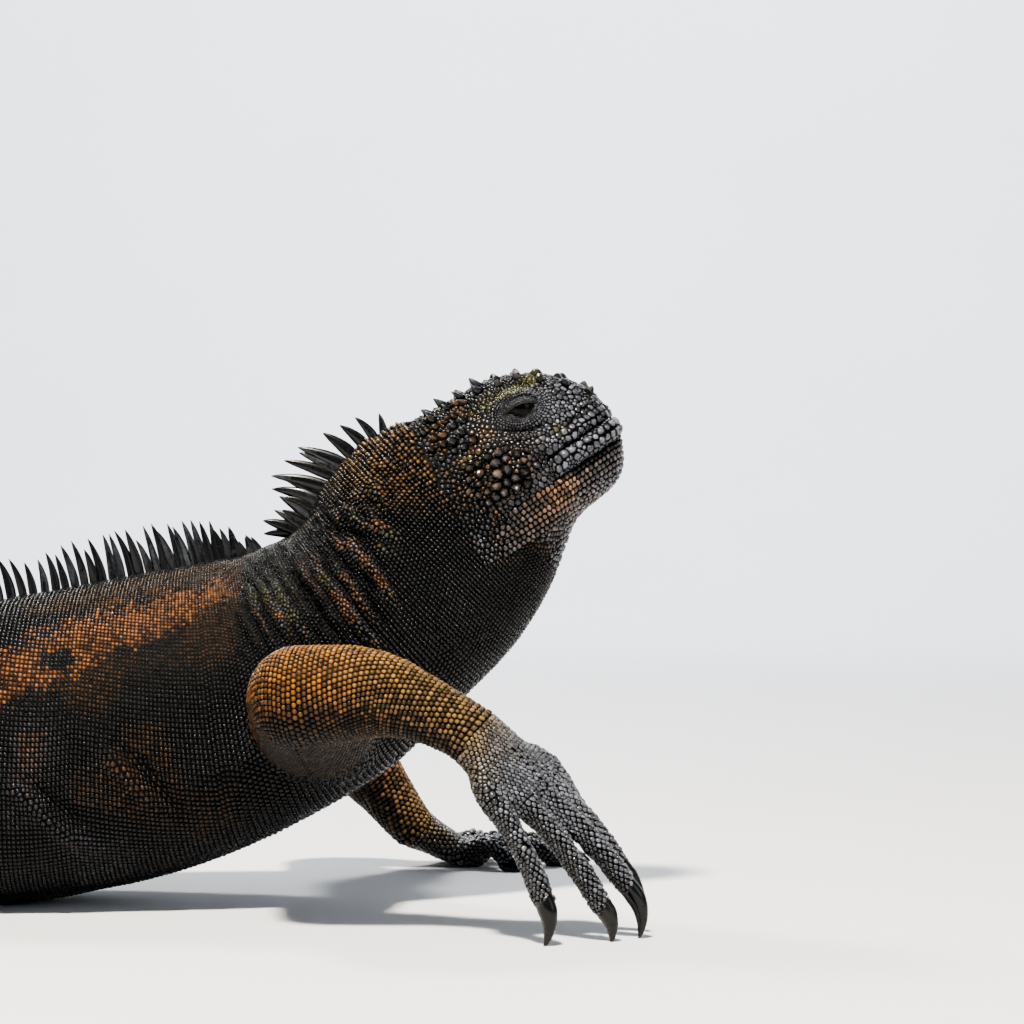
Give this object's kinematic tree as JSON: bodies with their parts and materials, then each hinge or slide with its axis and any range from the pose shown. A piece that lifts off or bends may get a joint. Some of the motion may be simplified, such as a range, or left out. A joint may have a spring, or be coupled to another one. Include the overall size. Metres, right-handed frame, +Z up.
{
  "type": "marine iguana",
  "caption": "Life-size still model of a marine iguana resting on its belly, head and chest raised, with a spiny crest from nape to tail tip and one hand hanging down.",
  "frame": {"origin": "on the floor under the middle of the belly, on the animal's midline", "axes": "+X along the trunk towards the snout, +Y to the animal's left, +Z up"},
  "size_m": [0.9129, 0.4002, 0.2073],
  "materials": {
    "skin": "near-black horny scales with a wet-looking gloss, mottled with dull yellow-green",
    "rust": "small glossy scales, black below and rust orange along the upper flank",
    "ochre": "fine satin scales, ochre orange turning olive towards the wrist",
    "hand": "glossy dark grey scales with silvery highlights",
    "claw": "smooth black horn",
    "eye": "wet, dark brown, almost black"
  },
  "bodies": {
    "root": {"head": "skin", "neck": "skin", "chest": "rust", "belly": "rust", "hips": "rust", "tail_1": "skin", "tail_2": "skin", "tail_3": "skin", "tail_4": "skin", "tail_5": "skin", "eye_right": "eye", "eye_left": "eye", "upper_arm_right": "ochre", "forearm_right": "ochre", "hand_right": "hand", "thigh_right": "skin", "shin_right": "skin", "foot_right": "hand", "claw_right_fore_5": "claw", "claw_right_fore_4": "claw", "claw_right_fore_3": "claw", "claw_right_fore_2": "claw", "claw_right_fore_1": "claw", "claw_right_hind_5": "claw", "claw_right_hind_4": "claw", "claw_right_hind_3": "claw", "claw_right_hind_2": "claw", "claw_right_hind_1": "claw", "upper_arm_left": "ochre", "forearm_left": "ochre", "hand_left": "hand", "thigh_left": "skin", "shin_left": "skin", "foot_left": "hand", "claw_left_fore_5": "claw", "claw_left_fore_4": "claw", "claw_left_fore_3": "claw", "claw_left_fore_2": "claw", "claw_left_fore_1": "claw", "claw_left_hind_5": "claw", "claw_left_hind_4": "claw", "claw_left_hind_3": "claw", "claw_left_hind_2": "claw", "claw_left_hind_1": "claw"}
  },
  "joints": []
}
